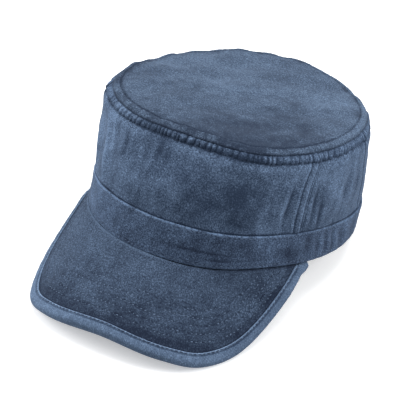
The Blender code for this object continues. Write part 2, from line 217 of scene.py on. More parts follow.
# Lighter towards the wearer's right and darker towards the edge: partly wash and partly painted light and
# shade.
PEAK_SPOTS = table(Spot, (
    (-0.062, -0.08, -0.018, 0.03, 0.7), (-0.01, -0.112, -0.01, 0.022, 0.4),
    (0.04, -0.1, -0.01, 0.018, 0.25), (-0.04, -0.1, -0.004, 0.018, 0.55),
    (0.006, -0.106, -0.004, 0.014, 0.45), (0.02, -0.128, -0.022, 0.014, -0.35),
    (-0.022, -0.122, -0.018, 0.012, 0.35), (0.012, -0.142, -0.04, 0.03, -0.85),
    (-0.036, -0.128, -0.034, 0.02, -0.45), (0.052, -0.118, -0.034, 0.026, -0.5),
    (0.078, -0.07, -0.02, 0.02, -0.45),
))
# Lighter on the wearer's right and darker in front and on the left: painted light and shade across the tape.
BINDING_SPOTS = table(Spot, (
    (-0.07, -0.12, -0.045, 0.045, 0.45), (0.01, -0.15, -0.05, 0.035, -0.35),
    (0.075, -0.08, -0.035, 0.045, -0.5),
))


def blend(rows, column, heights):
    """Read one column of a table at many heights, along a smooth curve through its rows."""
    heights = np.asarray(heights, float)
    place = np.array([row.height for row in rows])
    value = np.array([getattr(row, column) for row in rows])
    last = len(rows) - 1
    before = np.maximum(np.arange(-1, last), 0)
    after = np.minimum(np.arange(1, last + 2), last)
    slope = (value[after] - value[before]) / (place[after] - place[before])
    low = np.clip(np.searchsorted(place, heights, side="right") - 1, 0, last - 1)
    span = place[low + 1] - place[low]
    t = (heights - place[low]) / span
    return ((1 + 2 * t) * (1 - t) ** 2 * value[low] + t * (1 - t) ** 2 * span * slope[low]
            + t * t * (3 - 2 * t) * value[low + 1] - t * t * (1 - t) * span * slope[low + 1])


def bump(distance):
    """A round hill, 1 in the middle and near 0 two radii away."""
    return np.exp(-distance * distance)


def ramp(value, low, high):
    """0 below low, 1 above high and a smooth rise between."""
    t = np.clip((value - low) / (high - low), 0.0, 1.0)
    return t * t * (3 - 2 * t)


def turn_about(turn):
    """The same turn, between -180 and 180."""
    return (turn + 180.0) % 360.0 - 180.0


def stack(*parts):
    return np.stack(np.broadcast_arrays(*parts), axis=-1)


def unit(vectors):
    return vectors / np.maximum(np.linalg.norm(vectors, axis=-1, keepdims=True), 1e-12)


class Ripple:
    """Smooth seeded waves in space, between about -1 and 1."""

    def __init__(self, size, seed, count=14):
        dice = np.random.default_rng(seed)
        ways = unit(dice.normal(size=(count, 3)))
        self.waves = ways * (2 * math.pi / size) * dice.uniform(0.6, 1.5, (count, 1))
        self.phases = dice.uniform(0, 2 * math.pi, count)

    def __call__(self, points):
        angles = points @ self.waves.T + self.phases
        return np.sin(angles).sum(axis=-1) / math.sqrt(len(self.phases)) * 0.9


SAG = Ripple(0.034, 3)
CRUMPLE = Ripple(0.011, 5)
CRINKLE = Ripple(0.0042, 8)
WASH = Ripple(0.026, 31)
BLOTCH = Ripple(0.0085, 41)
BUCKLE = Ripple(0.019, 21)


def wander(rows, turn):
    """Read how far a sewn edge wanders at a turn, rounded off between the rows."""
    turns = [row.turn for row in rows]
    lifts = [row.lift for row in rows]
    near = [np.interp(turn + step, turns, lifts, period=360) for step in (-5, -2.5, 0, 2.5, 5)]
    return sum(near) / len(near) / 1000


def seam_height(turn):
    angle = np.radians(turn)
    even = CAP_HEIGHT - TOP_BACK_RISE / 2 * np.cos(angle) + TOP_SADDLE * np.cos(2 * angle)
    return even + wander(SEAM_WANDER, turn)


def fold_height(turn):
    share = np.cos(np.radians(turn) / 2) ** 2
    even = BAND_BACK_HEIGHT + (BAND_HEIGHT - BAND_BACK_HEIGHT) * share ** 1.8
    return even + wander(FOLD_WANDER, turn)


def smooth_wall(turn, height):
    """The wall's outer face before any fold."""
    angle = np.radians(turn)
    along = blend(SECTIONS, "along", height)
    half_long = blend(SECTIONS, "long", height) * (HEAD_LENGTH + along * (TOP_LENGTH - HEAD_LENGTH)) / 2
    half_wide = blend(SECTIONS, "wide", height) * (HEAD_WIDTH + along * (TOP_WIDTH - HEAD_WIDTH)) / 2
    plump = 1 + blend(SECTIONS, "square", height) * np.cos(4 * angle)
    x = half_wide * np.sin(angle) * plump * (1 + blend(SECTIONS, "full", height) * np.cos(angle))
    y = blend(SECTIONS, "shift", height) * TOP_SHIFT - half_long * np.cos(angle) * plump
    return stack(x, y, height * seam_height(turn) + (1 - height) * wander(RIM_WANDER, turn))


def outward(turn, height):
    """The level direction out of the wall."""
    run = smooth_wall(turn + 0.5, height) - smooth_wall(turn - 0.5, height)
    return unit(stack(run[..., 1], -run[..., 0], 0.0 * run[..., 0]))


def standing(folds, turn, height, taper):
    """How far the folds of a table stand out. A larger taper makes them fade sooner."""
    depth = 0.0 * (turn + height)
    for fold in folds:
        up = (height - (fold.low + fold.high) / 2) / ((fold.high - fold.low) / 2)
        across = turn_about(turn - (fold.turn + fold.lean * up)) / fold.half_width
        depth = depth + fold.depth * bump(up * taper) * bump(across)
    return depth


def fold_depth(turn, height):
    """How far the soft folds push the wall out."""
    return FOLD_DEPTH * standing(FOLDS, turn, height, 1.3)


def dim_front(turn):
    """How dark the front of the top's seam is, partly painted shade and partly darker dye: less on the
    wearer's right, 1 in front, 0 on the left.
    """
    turn = turn_about(turn)
    return (0.25 * ramp(turn, -60.0, -30.0) + 0.75 * ramp(turn, -16.0, 26.0)) * (1 - ramp(turn, *DARK_END))


def wall_point(turn, height, out):
    """A point of the folded wall, moved level outwards."""
    return smooth_wall(turn, height) + outward(turn, height) * (out + fold_depth(turn, height))[..., None]


def puckers(turn, slant):
    """Gathers along the top seam: how high their round crests stand and how deep the narrow valleys are."""
    angle = np.radians(turn)
    phase = PUCKER_COUNT * angle / 2 + 1.5 * np.sin(7 * angle + 1) + 1.0 * np.sin(17 * angle + 2)
    phase = phase + 0.45 * np.sin(43 * angle) + 0.3 * np.sin(71 * angle + 1) + slant
    strength = 0.78 + 0.16 * np.sin(11 * angle + 0.7) + 0.14 * np.sin(29 * angle)
    strength = strength + 0.08 * np.sin(53 * angle + 2)
    crest = np.abs(np.sin(phase)) ** 0.75
    return strength * crest, strength * bump(np.sin(phase) / 0.36)


def groove(distance, half_width):
    """The hollow that a row of stitching pulls into the cloth, 1 deep in its middle."""
    return bump(distance / half_width)


def wall_relief(turn, height):
    """How far the wall stands out of its smooth shape, with its pale wear and painted highlight and its
    painted shade and dark patches.
    """
    plain = smooth_wall(turn, height)
    strip = (1.0 - height) / STRIP_SHARE
    gather, valley = puckers(turn, 0.6 * strip + 0.2 * CRUMPLE(plain))
    near_band = (height * seam_height(turn) - fold_height(turn)) * 1000
    pull = np.where(strip < 1.0, ramp(strip, -0.1, 0.3), bump((strip - 1.0) / 0.7) * 0.5)
    strip_row, seam_row = groove(strip - 1.0, 0.13), groove(strip, 0.12)
    crease = standing(CREASES, turn, height, 1.2)
    folded = standing(FOLDS, turn, height, 1.3)

    # The gathered strip, the roll below it, soft waves, and the hollows beside the band and the creases
    out = PUCKER_DEPTH * (gather - PUCKER_MIDDLE) * pull
    out = out + 0.0007 * (bump((strip - 0.45) / 0.40) + bump((strip - 1.9) / 0.8))
    out = out - 0.0007 * strip_row - 0.0008 * seam_row
    out = out + 0.00060 * SAG(plain) * ramp(strip, 0.6, 3.0)
    out = out + 0.00016 * CRUMPLE(plain) * ramp(strip, 0.4, 2.0)
    out = out + 0.00004 * CRINKLE(plain) - 0.0004 * (1 - ramp(near_band, -0.4, 2.2)) + CREASE_DEPTH * crease

    # Pale on the crests of the gathers, on the roll just below the strip and on the raised folds and creases:
    # partly wear from the wash and partly painted highlight on these rises
    uneven = np.clip(0.75 + 0.55 * CRUMPLE(plain * 1.3), 0.1, 1.4)
    wear_and_highlight = 1.1 * gather ** 2 * bump((strip - 0.30) / 0.24) * uneven + 0.22 * bump((strip - 1.5) / 0.35)
    wear_and_highlight = wear_and_highlight + 0.40 * np.clip(folded, 0, 1) + 1.05 * np.clip(crease, 0, 1)

    # The stitching grooves, the valleys, the hollows, the edge along the band and the strip's lower part get
    # painted shade; much of the strip is darker too: in front partly as painted shade, and on the wearer's
    # left
    left_part = ramp(turn_about(turn), *DARK_END) * (1 - ramp(turn_about(turn), 110.0, 140.0))
    shade_and_dark_patches = 0.75 * strip_row * uneven + 0.95 * seam_row + 1.1 * (1 - ramp(near_band, 0.4, 1.6))
    shade_and_dark_patches = shade_and_dark_patches + (0.80 + 0.20 * dim_front(turn)) * valley * pull
    shade_and_dark_patches = shade_and_dark_patches + 0.22 * np.clip(-folded, 0, 1) + 1.15 * np.clip(-crease, 0, 1)
    shade_and_dark_patches = shade_and_dark_patches + 0.22 * bump((strip - 0.80) / 0.25)
    shade_and_dark_patches = shade_and_dark_patches + (0.85 * dim_front(turn) + 0.40 * left_part) * bump((strip - 0.5) / 0.55)
    return out, wear_and_highlight, shade_and_dark_patches


def to_world(points):
    """Lean the upright cap back to the way it rests, which the band's flat rim gives."""
    rim = next(mount for mount in frame["record"]["mounts"] if mount["name"] == "band_rim")
    pitch = math.atan2(-rim["axis"][1], -rim["axis"][2])
    level, lean = math.cos(pitch), math.sin(pitch)
    turned = np.array([[1, 0, 0], [0, level, lean], [0, -lean, level]])
    place = np.array(rim["pos_m"]) - turned @ np.array([0, RIM_MIDDLE, 0])
    return points @ turned.T + place


def clear_selection():
    """Nothing stays selected and no object is being edited."""
    if bpy.context.object and bpy.context.object.mode == "EDIT":
        bpy.ops.object.mode_set(mode="OBJECT")
    bpy.ops.object.select_all(action="DESELECT")


def select_only(obj):
    """Select one object and make it the active one."""
    clear_selection()
    obj.select_set(True)
    bpy.context.view_layer.objects.active = obj


def face_outward(obj):
    """Turn all faces of a closed piece outwards."""
    select_only(obj)
    bpy.ops.object.mode_set(mode="EDIT")
    bpy.ops.mesh.select_all(action="SELECT")
    bpy.ops.mesh.normals_make_consistent(inside=False)
    bpy.ops.object.mode_set(mode="OBJECT")


def vectors(items, key):
    """Read one vector of each vertex or face."""
    flat = np.empty(len(items) * 3)
    items.foreach_get(key, flat)
    return flat.reshape(-1, 3)


def store(mesh, label, values):
    """Keep one number for each vertex, for the materials."""
    layer = mesh.attributes.new(label, "FLOAT", "POINT")
    layer.data.foreach_set("value", np.broadcast_to(values, len(mesh.vertices)).astype(np.float32))


def cloth_grid(name, columns, rows, shape, closed=False):
    """Add a grid and lay it over a surface. shape gives the place, the size on the cloth, the pale wear and
    painted highlight, and the painted shade and dark patches.
    """
    clear_selection()
    bpy.ops.mesh.primitive_grid_add(x_subdivisions=columns, y_subdivisions=rows, size=1.0, calc_uvs=True)
    obj = bpy.context.object
    obj.name = obj.data.name = name
    mesh = obj.data
    flat = vectors(mesh.vertices, "co")
    points, cloth, wear_and_highlight, shade_and_dark_patches = shape(flat[:, 0] + 0.5, flat[:, 1] + 0.5)
    mesh.vertices.foreach_set("co", to_world(points).ravel())
    corners = np.empty(len(mesh.loops), dtype=np.int32)
    mesh.loops.foreach_get("vertex_index", corners)
    mesh.uv_layers.active.data.foreach_set("uv", cloth[corners].ravel())
    store(mesh, "wear_and_highlight", wear_and_highlight)
    store(mesh, "shade_and_dark_patches", shade_and_dark_patches)
    mesh.update()
    if closed:
        bpy.ops.object.mode_set(mode="EDIT")
        bpy.ops.mesh.select_all(action="SELECT")
        bpy.ops.mesh.remove_doubles(threshold=0.00001)
        bpy.ops.object.mode_set(mode="OBJECT")
    bpy.ops.object.shade_smooth()
    return obj


def face_out(obj, centre):
    """Turn the faces of an open sheet so that they point away from the inside of the cap."""
    mesh = obj.data
    away = (vectors(mesh.polygons, "center") - centre) * vectors(mesh.polygons, "normal")
    if np.median(away.sum(axis=1)) < 0:
        mesh.flip_normals()


def thicken(obj, thickness):
    """Give a sheet its cloth's thickness on the inside."""
    select_only(obj)
    solid = obj.modifiers.new("cloth", "SOLIDIFY")
    solid.thickness = thickness
    solid.offset = -1.0
    bpy.ops.object.modifier_apply(modifier=solid.name)


INSIDE = to_world(np.array([0.0, 0.0, 0.03]))


def seam_turn(seam, row):
    return seam.turn + seam.lean * (0.5 - row)


def panel_place(first, last, first_over, last_over, along, row):
    """The turn, height and relief of a wall panel, whose ends lie over or under their neighbours."""
    edge = FELL_WIDTH / 2
    reach = edge / METRES_PER_DEGREE
    turn = (1 - along) * (seam_turn(first, row) - reach) + along * (seam_turn(last, row) + reach)
    start = fold_height(turn) / seam_height(turn)
    height = start + row * (1.0 - start)
    out, wear_and_highlight, shade_and_dark_patches = wall_relief(turn, height)
    for seam, over, side in ((first, first_over, -1), (last, last_over, 1)):
        past = (turn - seam_turn(seam, row)) * side * METRES_PER_DEGREE
        # Where a panel lies over its neighbour, its stitch grooves and the step at its folded edge get
        # painted shade, and the ridge beside each row and the folded edge are pale, partly wear and partly
        # painted highlight. Where it goes under, the cloth next to the fold gets painted shade.
        if over:
            out = out + FELL_HEIGHT * ramp(past, -edge - FELL_STEP, -edge + FELL_STEP)
            out = out - 0.0011 * ramp(past, edge - 0.0007, edge)
            for line in FELL_LINES:
                stitched = groove(past - line, FELL_GROOVE)
                out = out - FELL_HEIGHT * stitched
                shade_and_dark_patches = shade_and_dark_patches + 1.2 * stitched
                wear_and_highlight = wear_and_highlight + 1.05 * groove(past - line + 0.0011, 0.0006)
            shade_and_dark_patches = shade_and_dark_patches + 1.1 * ramp(past, edge - 0.0005, edge)
            wear_and_highlight = wear_and_highlight + 0.7 * groove(past - edge + 0.0007, 0.0004)
        else:
            out = out - 0.0010 * ramp(past, -edge - FELL_STEP, -edge + 0.0004)
            shade_and_dark_patches = shade_and_dark_patches + 0.6 * ramp(past, -edge - 0.0010, -edge)
    return turn, height, out, wear_and_highlight, shade_and_dark_patches


def wall_panel(name, first, last, first_over, last_over, columns, rows):
    """One panel of the wall, with its rows closer together near the top seam."""
    def shape(u, v):
        row = np.interp(v, (0.0, 0.72, 1.0), (-0.03, 0.84, 1.0))
        turn, height, out, wear_and_highlight, shade_and_dark_patches = panel_place(first, last, first_over, last_over, u, row)
        cloth = stack(turn * METRES_PER_DEGREE, height * seam_height(turn))
        return wall_point(turn, height, out), cloth, wear_and_highlight, shade_and_dark_patches

    panel = cloth_grid(name, columns, rows, shape)
    face_out(panel, INSIDE)
    thicken(panel, CLOTH)
    return panel


def run_lengths(points):
    """How far along a broken line each of its points is."""
    return np.concatenate([[0.0], np.cumsum(np.linalg.norm(np.diff(points, axis=0), axis=1))])


def read_line(where, lengths, values):
    """Read every column of the values at places along a line."""
    return np.stack([np.interp(where, lengths, column) for column in values.T], axis=-1)


def along_path(points, shares):
    """Read a broken line at shares of its length."""
    points = np.array(points, float)
    lengths = run_lengths(points)
    return read_line(shares * lengths[-1], lengths, points)


def band_profile(v):
    """The band's section, down its inside, up its outside and over its fold: share of its height, and out."""
    proud, inside = BAND_PROUD, -0.0016
    line = (
        (0.5, inside), (0.02, inside), (0.0, inside + 0.0006), (0.0, proud * -0.6), (0.014, proud * 0.2),
        (0.035, proud * 0.8), (0.09, proud), (0.5, proud), (0.9, proud), (0.965, proud * 0.9),
        (0.992, proud * 0.45), (1.0, proud * -0.1), (0.985, inside * 0.6), (0.94, inside), (0.5, inside),
    )
    path = along_path([(share * BAND_HEIGHT, out) for share, out in line], v)
    return path[:, 0] / BAND_HEIGHT, path[:, 1]


def band_relief(turn, share, out):
    """Soft ripples and two rows of stitching on the band's outer face."""
    plain = smooth_wall(turn, share * 0.3)
    outside = ramp(out, -0.0002, BAND_PROUD * 0.7)
    above = share * fold_height(turn)
    below = (1 - share) * fold_height(turn)
    angle, side = np.radians(turn), turn_about(turn)
    ribs = np.sin(angle * 52 + 3 * np.sin(angle * 9)) * bump((turn - 92) / 34)
    ribs = ribs * np.sin(math.pi * np.clip(share, 0, 1))
    soft = 0.00022 * SAG(plain * 1.4) + 0.00010 * CRUMPLE(plain) + 0.00003 * CRINKLE(plain) + 0.00034 * ribs
    rows = groove(below - BAND_ROW_BELOW_FOLD, BAND_GROOVE) + groove(above - BAND_ROW_ABOVE_RIM, BAND_GROOVE)
    creases = bump((above - 0.0095 - 0.0012 * np.sin(angle * 5)) / 0.0010) * bump((turn - 22) / 16)
    creases = creases + bump((above - 0.0060) / 0.0009) * bump((turn - 34) / 12)
    moved = outside * (soft - 0.00034 * rows - 0.00030 * creases)

    # The fold's edge is worn less on the wearer's left and the rim's edge more on the right
    uneven = np.clip(0.70 + 0.45 * CRINKLE(plain) + 0.30 * CRUMPLE(plain), 0.1, 1.5)
    fold_wear = 2.6 * (1 - 0.6 * ramp(side, 44.0, 62.0))
    rim_wear = 0.2 + 1.3 * (1 - ramp(side, -8.0, 26.0))
    wear_and_highlight = fold_wear * bump((below - 0.0004) / 0.0008) * uneven + rim_wear * bump(above / 0.0009)
    # The raised ribs get a painted highlight; the stitch grooves, the hollows between the ribs and the
    # creases get painted shade.
    wear_and_highlight = outside * (wear_and_highlight + 0.30 * np.clip(ribs, 0, 1))
    shade_and_dark_patches = outside * (0.45 * rows + 0.45 * np.clip(-ribs, 0, 1) + 0.55 * creases)
    return moved, wear_and_highlight, shade_and_dark_patches


def headband():
    """The folded band. Its cloth goes down the inside, up the outside and over the fold."""
    def shape(u, v):
        turn = 360.0 * u
        share, out = band_profile(v)
        moved, wear_and_highlight, shade_and_dark_patches = band_relief(turn, share, out)
        height = share * fold_height(turn) / seam_height(turn)
        cloth = stack(turn * METRES_PER_DEGREE, v * 2.2 * BAND_HEIGHT)
        return wall_point(turn, height, out + moved), cloth, wear_and_highlight, shade_and_dark_patches

    return cloth_grid("head_band", 720, 76, shape, closed=True)


# The top's rim where it turns over at the seam: how far in and how high
RIM_PROFILE = np.array((
    (0.0, -0.0002), (0.0003, 0.0006), (0.0009, 0.0014), (0.0018, 0.0021), (0.0029, 0.0026), (0.0040, 0.0028),
    (0.0051, 0.0027), (0.0065, 0.0026), (0.0100, 0.0026),
))


def top_place(turn, inward):
    """The top panel's outer face at a distance in from its seam, with its pale wear and painted highlight and
    its painted shade and dark patches.
    """
    edge = smooth_wall(turn, 1.0 + 0 * turn)
    centre = np.array([0.0, TOP_SHIFT, CAP_HEIGHT])
    reach = np.linalg.norm((edge - centre)[..., :2], axis=-1)
    share = np.clip(1.0 - inward / reach, 0.0, 1.0)
    flatter = 1 - share ** 4
    point = centre + (edge - centre) * share[..., None]
    rise = np.interp(inward, RIM_PROFILE[:, 0], RIM_PROFILE[:, 1])
    height = CAP_HEIGHT + (edge[..., 2] - CAP_HEIGHT) * share * share + rise + TOP_DOME * flatter
    across = point[..., 0] / (TOP_WIDTH / 2)
    back = (point[..., 1] - TOP_SHIFT) / (TOP_LENGTH / 2)
    for dent in DENTS:
        away = np.hypot(across - dent.side, back - dent.back) / dent.radius
        height = height - dent.depth * DENT_DEPTH * bump(away) * flatter

    angle, side = np.radians(turn), turn_about(turn)
    gather, valley = puckers(turn + 1.0, 200.0 * inward)
    from_row = inward - TOPSTITCH_IN
    along_rim = bump((inward - 0.0036) / 0.0030)
    on_rim = bump((inward - 0.0024) / 0.0017)
    front_side = ramp(side, -100.0, -50.0) * (1 - ramp(side, 36.0, 60.0))
    plain_side = ramp(np.abs(side), 60.0, 110.0)
    left_rim = ramp(side, 37.4, 38.2)
    height = height + 0.00060 * SAG(point) * ramp(inward, 0.004, 0.016)
    height = height + 0.00013 * CRUMPLE(point) + 0.00004 * CRINKLE(point) - 0.0008 * groove(from_row, 0.0006)
    height = height + (0.00030 + 0.00040 * front_side) * (gather - PUCKER_MIDDLE) * along_rim
    height = height + 0.00050 * BUCKLE(point) * bump((inward - 0.0030) / 0.0030)

    # The rim is pale on the wearer's left, and dark and blotchy elsewhere. Its crests are pale, partly wear
    # and partly painted highlight; the grooves, the valleys, a band just inside the topstitching and, partly,
    # the rim's front get painted shade
    uneven = 0.6 + 0.4 * np.sin(3 * angle + 0.4) + 0.25 * np.sin(13 * angle)
    patchy = np.clip(0.4 + 0.9 * CRUMPLE(point * 1.2), 0, 1.5)
    wear_and_highlight = 0.35 * on_rim * (0.3 + left_rim) + 0.45 * gather * on_rim * patchy
    shade_and_dark_patches = (0.75 - 0.5 * plain_side) * groove(from_row, 0.0007 + 0.0004 * front_side)
    shade_and_dark_patches = shade_and_dark_patches + (0.8 - 0.4 * plain_side) * groove(inward, 0.0005)
    shade_and_dark_patches = shade_and_dark_patches + (0.30 + 0.35 * front_side) * valley * along_rim
    shade_and_dark_patches = shade_and_dark_patches + 0.45 * uneven * bump((from_row - 0.0016) / 0.0022) * (0.5 + patchy)
    shade_and_dark_patches = shade_and_dark_patches + on_rim * (1 - left_rim) * (0.50 * (1 - 0.8 * patchy) + 0.55 * ramp(side, 6.0, 30.0))
    shade_and_dark_patches = shade_and_dark_patches + dim_front(turn) * (0.25 * on_rim + 0.30 * bump((inward - 0.0085) / 0.0035))
    return stack(point[..., 0], point[..., 1], height), wear_and_highlight, shade_and_dark_patches


def crown_top():
    """The top panel. About a third of its rows lie within its rim."""
    rim_rows, rim_reach = 0.36, 0.0095
    reach = TOP_WIDTH / 2 * 1.12

    def shape(u, v):
        on_rim = v / rim_rows * rim_reach
        past_rim = rim_reach + np.clip((v - rim_rows) / (1 - rim_rows), 0, 1) ** 1.1 * reach
        place, wear_and_highlight, shade_and_dark_patches = top_place(360.0 * u, np.where(v < rim_rows, on_rim, past_rim))
        return place, place[:, :2], wear_and_highlight, shade_and_dark_patches

    top = cloth_grid("top_panel", 620, 70, shape, closed=True)
    face_out(top, INSIDE)
    thicken(top, CLOTH)
    return top


def band_edge(turn, out):
    """The rim of the band's outer face."""
    return wall_point(turn, 0.0 * turn, out + BAND_PROUD)


def from_end(shares):
    """The distance to the nearer end of the peak, as a share of its edge."""
    return np.minimum(shares, 1 - shares)


def peak_outline(shares):
    """The peak's bound edge, from the wearer's right to the left."""
    start = float(band_edge(np.array([PEAK_ATTACH_TURN]), 0.0)[0, 1])
    reach = HEAD_LENGTH / 2 + BAND_PROUD + PEAK_LENGTH + start
    angle = np.linspace(-math.pi / 2, math.pi / 2, 1601)
    side = np.sign(angle) * np.abs(np.sin(angle)) ** (2 / PEAK_CORNERS)
    ahead = np.clip(np.cos(angle), 0, None) ** (2 / PEAK_CORNERS)
    flat = along_path(np.stack([PEAK_HALF_WIDTH * side, start - reach * ahead], axis=-1), shares)
    drop = PEAK_DROP * blend(DROPS, "drop", 1 - np.abs(2 * shares - 1))
    ends = 1 - ramp(from_end(shares), 0.0, 0.06)
    side = flat[:, 0] + PEAK_SHIFT * (peak_side(shares) - np.sign(flat[:, 0]) * ends)
    return stack(side, flat[:, 1], -drop)


def tape_width(shares):
    """How far the tape reaches in over the peak, more towards the wearer's left end."""
    return BINDING_WIDTH * (1 + 0.26 * ramp(shares, 0.62, 0.92))


def peak_side(shares):
    """1 on the wearer's right side of the peak and 0 elsewhere."""
    return ramp(shares, 0.0, 0.06) * (1 - ramp(shares, 0.24, 0.36))


def root_lift(turn):
    """How far the peak's root climbs the band's face, more on the wearer's right side."""
    return 0.0014 * (1 - ramp(turn, -10.0, 30.0))


def peak_ribs(shares):
    """The peak's straight lines from its edge to the band: edge, root and the direction out of its face."""
    def ends(where):
        edge = peak_outline(where)
        turn = np.degrees(np.arctan2(edge[:, 0] / HEAD_WIDTH, -edge[:, 1] / HEAD_LENGTH))
        under = 1 - ramp(from_end(where), 0.003, 0.030)
        climb = 0.0013 * (1 - ramp(from_end(where), 0.006, 0.024))
        root = band_edge(turn, PEAK_GAP - 0.2 * root_lift(turn) - 0.0062 * under)
        root[:, 2] += root_lift(turn) * (1 - under) - PEAK_GAP - 0.0024 * under + climb
        edge[:, 2] += climb
        return edge, root, turn

    edge, root, turn = ends(shares)
    step = 0.012
    near = np.clip(shares, step, 1 - step)
    ahead, behind = ends(near + step), ends(near - step)
    run = ahead[0] + ahead[1] - behind[0] - behind[1]
    up = unit(np.cross(run, root - edge))
    return edge, root, up, turn


def peak_rows(inward):
    """Rows of stitching side by side: 1 on a row."""
    lines = 0.0 * inward
    for row in PEAK_STITCH_ROWS:
        lines = lines + groove(inward - row, 0.00060)
    return lines


def peak_place(shares, inward):
    """The peak's upper face at a distance in from its edge."""
    edge, root, up, turn = peak_ribs(shares)
    run = root - edge
    length = np.linalg.norm(run, axis=-1)
    inward = np.minimum(inward, length)
    from_root = length - inward
    tape = tape_width(shares)
    point = edge + unit(run) * inward[:, None]
    rows = peak_rows(inward)
    lift = 0.00035 * SAG(point * 0.8) + 0.00012 * CRUMPLE(point) + 0.00004 * CRINKLE(point) - 0.00032 * rows
    lift = lift * ramp(from_root, 0.0, 0.003) - 0.0004 * (1 - ramp(inward - tape, -tape, 0.0012))
    left_side = ramp(turn, -10.0, 40.0)
    uneven = 0.6 + 0.5 * CRINKLE(point) + 0.3 * CRUMPLE(point)
    between = ramp(inward, 0.0150, 0.0170) * (1 - ramp(inward, 0.0380, 0.0400)) * (1 - rows)
    # Painted shade in the stitch grooves, a painted shadow line along the tape's inner edge, a darker band a
    # little further in and painted shade at the root on the wearer's left; the root on the right is pale with
    # wear
    shade_and_dark_patches = 0.50 * rows * np.clip(uneven, 0.0, 1.5) + 0.9 * bump((inward - tape) / 0.0010)
    shade_and_dark_patches = shade_and_dark_patches + (0.34 + 0.22 * left_side) * bump((inward - tape - 0.0035) / 0.0030)
    shade_and_dark_patches = shade_and_dark_patches + 0.6 * left_side * (1 - ramp(from_root, 0.0, 0.0012))
    wear_and_highlight = 1.5 * (1 - left_side) * bump((from_root - 0.0004) / 0.0011) + 0.22 * between * uneven
    return point + up * lift[:, None], up, wear_and_highlight, shade_and_dark_patches, length


def peak():
    """The peak, whose root goes on under the band and a little way up inside it."""
    start = 0.0014
    tuck_line = ((0.0003, -0.0003), (-0.0020, -0.0003), (-0.0032, -0.0002), (-0.0034, 0.0016))

    def shape(u, v):
        edge, root, _, turn = peak_ribs(u)
        length = np.linalg.norm(root - edge, axis=-1)
        inward = start + np.minimum(v / PLATE_SHARE, 1) * (length - start)
        point, _, wear_and_highlight, shade_and_dark_patches, _ = peak_place(u, inward)
        past = np.clip((v - PLATE_SHARE) / (1 - PLATE_SHARE), 0, 1)
        under = along_path(tuck_line, past)
        tuck = root + outward(turn, 0.0 * turn) * (under[:, :1] - PEAK_GAP)
        tuck[:, 2] += under[:, 1] + PEAK_GAP - root_lift(turn) * ramp(past, 0.0, 0.15)
        point = np.where((v > PLATE_SHARE)[:, None], tuck, point)
        return point, stack(u * PEAK_RUN, inward), wear_and_highlight, shade_and_dark_patches

    piece = cloth_grid("stitched_peak", 380, 92, shape)
    face_out(piece, to_world(np.array([0.0, -0.08, -0.12])))
    thicken(piece, PEAK_CLOTH)
    return piece


# The tape's section from its upper edge round the peak's edge and back: share of its width and how high
BINDING_SECTION = (
    (1.00, -0.0002), (1.00, 0.0007), (0.965, 0.00135), (0.90, 0.0016), (0.78, 0.0017), (0.55, 0.00195),
    (0.35, 0.0020), (0.20, 0.0017), (0.10, 0.0010), (0.035, 0.0000), (0.0, -0.0013), (0.03, -0.0028),
    (0.12, -0.0040), (0.30, -0.0046), (0.60, -0.0045), (0.92, -0.0042), (1.0, -0.0036), (1.0, -0.0029),
    (0.9, -0.0027), (0.16, -0.0020), (0.16, -0.0008), (0.9, -0.0002), (1.00, -0.0002),
)


def binding_place(along, v):
    """The folded tape round the peak's edge. Its ends go on under the band."""
    shares = np.clip((along - BINDING_TUCK) / (1 - 2 * BINDING_TUCK), 0.0, 1.0)
    under = np.clip(1 - along / BINDING_TUCK, 0, 1) + np.clip(1 - (1 - along) / BINDING_TUCK, 0, 1)
    edge, root, up, _ = peak_ribs(shares)
    run = root - edge
    width = np.minimum(tape_width(shares), np.linalg.norm(run, axis=-1) - 0.0004)
    section = along_path([(across * BINDING_WIDTH, lift) for across, lift in BINDING_SECTION], v)
    across, lift = section[:, 0] / BINDING_WIDTH, section[:, 1]
    over = ramp(lift, -0.0002, 0.0008)

    # Thinner on top at the wearer's right, thicker below in front and thin where it goes under the band
    lift = lift * (1 - 0.45 * peak_side(shares) * ramp(lift, 0.0, 0.001))
    lift = lift * (1 + 0.48 * bump((shares - 0.45) / 0.09) * ramp(-lift, 0.0005, 0.003))
    lift = lift * (1 - 0.74 * ramp(under, 0.0, 0.8))
    from_edge = (1 - across) * BINDING_WIDTH
    stitched = groove(from_edge - BINDING_ROW_IN, 0.0006) * over
    point = edge + unit(run) * (across * width)[:, None]
    soft = 0.00009 * CRUMPLE(point) + 0.00003 * CRINKLE(point) + 0.00014 * SAG(point)
    soft = soft * ramp(lift, -0.0024, -0.0010)
    point = point + up * (lift + soft - 0.00050 * stitched)[:, None]
    point[:, 0] -= np.sign(point[:, 0]) * 0.0040 * ramp(under, 0.4, 1.0)
    point[:, 1] += 0.0105 * under
    point[:, 2] += 0.0015 * ramp(under, 0.0, 0.65)
    # The tape's folded upper edge is pale with wear and the whole tape a little paler; its stitch groove gets
    # painted shade.
    return point, up, over * 1.2 * bump(from_edge / 0.0011) + 0.15, stitched


def peak_binding():
    """The tape, a tube that is closed with a face at each end."""
    def shape(u, v):
        point, _, wear_and_highlight, shade_and_dark_patches = binding_place(u, v)
        return point, stack(u * TAPE_RUN, v * TAPE_ROUND), wear_and_highlight, shade_and_dark_patches

    tape = cloth_grid("edge_binding", 520, 72, shape, closed=True)
    select_only(tape)
    bpy.ops.object.mode_set(mode="EDIT")
    bpy.ops.mesh.select_all(action="DESELECT")
    bpy.ops.mesh.select_non_manifold()
    bpy.ops.mesh.fill()
    bpy.ops.object.mode_set(mode="OBJECT")
    face_outward(tape)
    return tape


